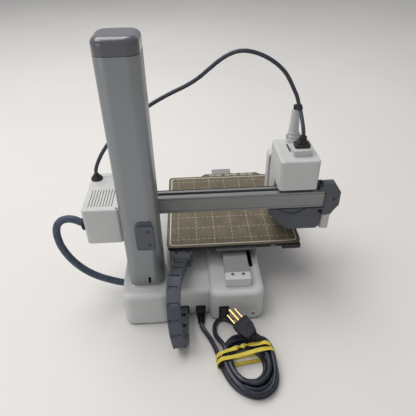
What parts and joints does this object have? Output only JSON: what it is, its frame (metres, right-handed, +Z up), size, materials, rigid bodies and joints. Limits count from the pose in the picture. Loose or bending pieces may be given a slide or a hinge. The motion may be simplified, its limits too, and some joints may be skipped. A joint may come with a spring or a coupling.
{
  "type": "desktop 3d printer",
  "caption": "Desktop filament printer: an upright column holds a cantilever arm with the print head over a sliding heated bed, with a cable chain and a coiled mains lead.",
  "frame": {"origin": "centre of the printer's bounding box at the surface that it stands on, measured without its cables and mains lead", "axes": "+Z up, +X towards the column and its motor housing, +Y towards the rear where the mains lead and the cable chain leave"},
  "size_m": [0.3747, 0.427, 0.3655],
  "materials": {
    "casing_white": "fine moulded texture",
    "moulded_dark": "satin",
    "moulded_black": "satin",
    "cap_charcoal": "semi-gloss",
    "column_grey": "satin grey",
    "beam_aluminium": "bead-blasted anodised",
    "steel": "ground",
    "brass": "turned",
    "bed_sheet": "bronze-brown textured sheet with a pale printed outline and grid",
    "bed_frame": "black coat",
    "circuit_board": "solder mask",
    "screen_glass": "polished",
    "cable_sheath": "braided sleeve",
    "cord_black": "smooth flexible PVC",
    "band_yellow": "flat elastic",
    "chain_plastic": "satin"
  },
  "bodies": {
    "root": {"base_shell": "casing_white", "base_plate": "moulded_dark", "foot_strip_bed_side": "moulded_black", "foot_strip_column_side": "moulded_black", "power_supply": "steel", "mainboard": "circuit_board", "power_inlet": "moulded_black", "screen_housing": "casing_white", "touch_screen": "screen_glass", "bed_rail": "beam_aluminium", "rail_end_block": "casing_white", "bed_motor": "moulded_dark", "bed_belt": "moulded_black", "energy_chain": "chain_plastic", "column": "column_grey", "column_cap": "cap_charcoal", "lift_motor": "moulded_dark", "lift_guides": "steel", "spool_bracket": "cap_charcoal", "arm_cable": "cable_sheath", "cord_connector": "cord_black", "power_cord_lead": "cord_black", "power_cord_coil": "cord_black", "mains_plug": "cord_black", "rubber_band": "band_yellow"},
    "power_switch": {"power_switch": "moulded_black"},
    "lift_screw": {"lift_screw": "steel"},
    "bed_motor_pulley": {"bed_motor_pulley": "steel"},
    "bed_idler_pulley": {"bed_idler_pulley": "steel"},
    "bed": {"bed_carriage": "moulded_dark", "heatbed": "bed_frame", "print_plate": "bed_sheet", "chain_bracket": "chain_plastic"},
    "arm": {"lift_carriage": "cap_charcoal", "beam": "beam_aluminium", "beam_rail": "steel", "motor_housing": "casing_white", "arm_motor": "moulded_dark", "arm_belt": "moulded_black", "beam_end_cap": "moulded_dark", "nozzle_wiper": "casing_white", "cable_grommet": "moulded_black", "head_cable": "cable_sheath"},
    "arm_motor_pulley": {"arm_motor_pulley": "steel"},
    "arm_idler_pulley": {"arm_idler_pulley": "steel"},
    "head": {"head_housing": "casing_white", "head_front_cover": "casing_white", "head_carriage": "moulded_dark", "feed_motor": "moulded_dark", "heat_sink": "steel", "hot_end": "brass", "fan_duct": "moulded_black", "filament_guide": "casing_white", "cable_clip": "moulded_black", "cable_plug": "moulded_black"},
    "part_fan": {"part_fan": "moulded_dark"},
    "head_fan": {"head_fan": "moulded_black"},
    "drive_gear": {"drive_gear": "brass"},
    "pinch_gear": {"pinch_gear": "brass"},
    "cutter_lever": {"cutter_lever": "cap_charcoal"}
  },
  "joints": [
    {"name": "bed_slide", "type": "slide", "parent": "root", "child": "bed", "axis": [0, 1, 0], "range_m": [-0.054, 0.126], "deforming": ["energy_chain"]},
    {"name": "arm_lift", "type": "slide", "parent": "root", "child": "arm", "axis": [0, 0, 1], "range_m": [-0.006, 0.172], "deforming": ["arm_cable"]},
    {"name": "head_slide", "type": "slide", "parent": "arm", "child": "head", "axis": [1, 0, 0], "range_m": [-0.001, 0.172], "deforming": ["head_cable"]},
    {"name": "lift_screw_turn", "type": "hinge", "parent": "root", "child": "lift_screw", "pos_m": [0.0937, 0.0847, 0.2], "axis": [0, 0, 1], "continuous": true},
    {"name": "bed_motor_turn", "type": "hinge", "parent": "root", "child": "bed_motor_pulley", "pos_m": [-0.0488, -0.1583, 0.031], "axis": [1, 0, 0], "continuous": true},
    {"name": "bed_idler_turn", "type": "hinge", "parent": "root", "child": "bed_idler_pulley", "pos_m": [-0.0488, 0.0947, 0.031], "axis": [1, 0, 0], "continuous": true},
    {"name": "arm_motor_turn", "type": "hinge", "parent": "arm", "child": "arm_motor_pulley", "pos_m": [0.1402, 0.0406, 0.1525], "axis": [0, 0, 1], "continuous": true},
    {"name": "arm_idler_turn", "type": "hinge", "parent": "arm", "child": "arm_idler_pulley", "pos_m": [-0.1528, 0.0406, 0.1525], "axis": [0, 0, 1], "continuous": true},
    {"name": "part_fan_spin", "type": "hinge", "parent": "head", "child": "part_fan", "pos_m": [-0.1088, 0.0467, 0.113], "axis": [0, 1, 0], "continuous": true},
    {"name": "head_fan_spin", "type": "hinge", "parent": "head", "child": "head_fan", "pos_m": [-0.1088, -0.0203, 0.14], "axis": [0, 1, 0], "continuous": true},
    {"name": "drive_gear_turn", "type": "hinge", "parent": "head", "child": "drive_gear", "pos_m": [-0.1056, 0.0027, 0.17], "axis": [0, 1, 0], "continuous": true},
    {"name": "pinch_gear_turn", "type": "hinge", "parent": "head", "child": "pinch_gear", "pos_m": [-0.116, 0.0027, 0.17], "axis": [0, 1, 0], "continuous": true},
    {"name": "cutter_press", "type": "slide", "parent": "head", "child": "cutter_lever", "axis": [1, 0, 0], "range_m": [0, 0.003], "stiffness_N_per_m": 300},
    {"name": "switch_rock", "type": "hinge", "parent": "root", "child": "power_switch", "pos_m": [-0.0068, 0.1212, 0.0165], "axis": [1, 0, 0], "range_deg": [0, 10]}
  ],
  "couplings": [
    {"joint": "lift_screw_turn", "follows": "arm_lift", "rad_per_m": 785.4},
    {"joint": "bed_motor_turn", "follows": "bed_slide", "rad_per_m": -90.909},
    {"joint": "bed_idler_turn", "follows": "bed_slide", "rad_per_m": -90.909},
    {"joint": "arm_motor_turn", "follows": "head_slide", "rad_per_m": 153.85},
    {"joint": "arm_idler_turn", "follows": "head_slide", "rad_per_m": 153.85},
    {"joint": "pinch_gear_turn", "follows": "drive_gear_turn", "ratio": -1}
  ]
}
